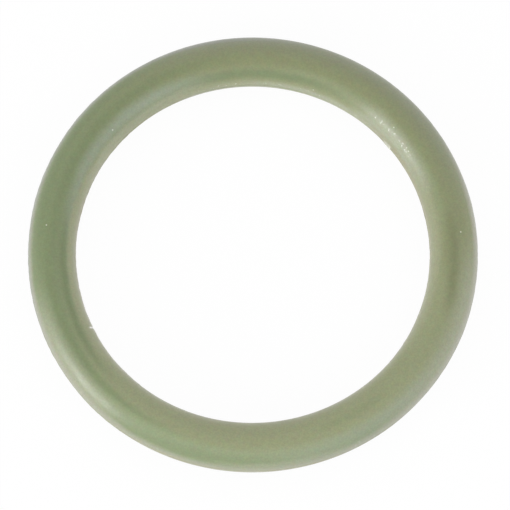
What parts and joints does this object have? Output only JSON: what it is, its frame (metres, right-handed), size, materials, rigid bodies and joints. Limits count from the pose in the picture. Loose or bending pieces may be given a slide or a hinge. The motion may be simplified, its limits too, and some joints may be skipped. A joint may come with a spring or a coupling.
{
  "type": "o-ring",
  "caption": "Closed ring of round-section green rubber with a fine trimmed mould line at its bore and rim; it seals a pipe end or spigot inside a round fitting.",
  "frame": {"origin": "middle of the ring, on its axis and in its mid-plane, where the mould parts", "axes": "+Z along the ring's axis, up as it lies flat; X and Y lie in the mid-plane and are alike by symmetry"},
  "size_m": [0.0282, 0.0282, 0.003],
  "materials": {
    "green_rubber": "satin moulded fluorocarbon rubber, sage green, lightly dusted"
  },
  "bodies": {
    "root": {"o_ring": "green_rubber"}
  },
  "joints": []
}
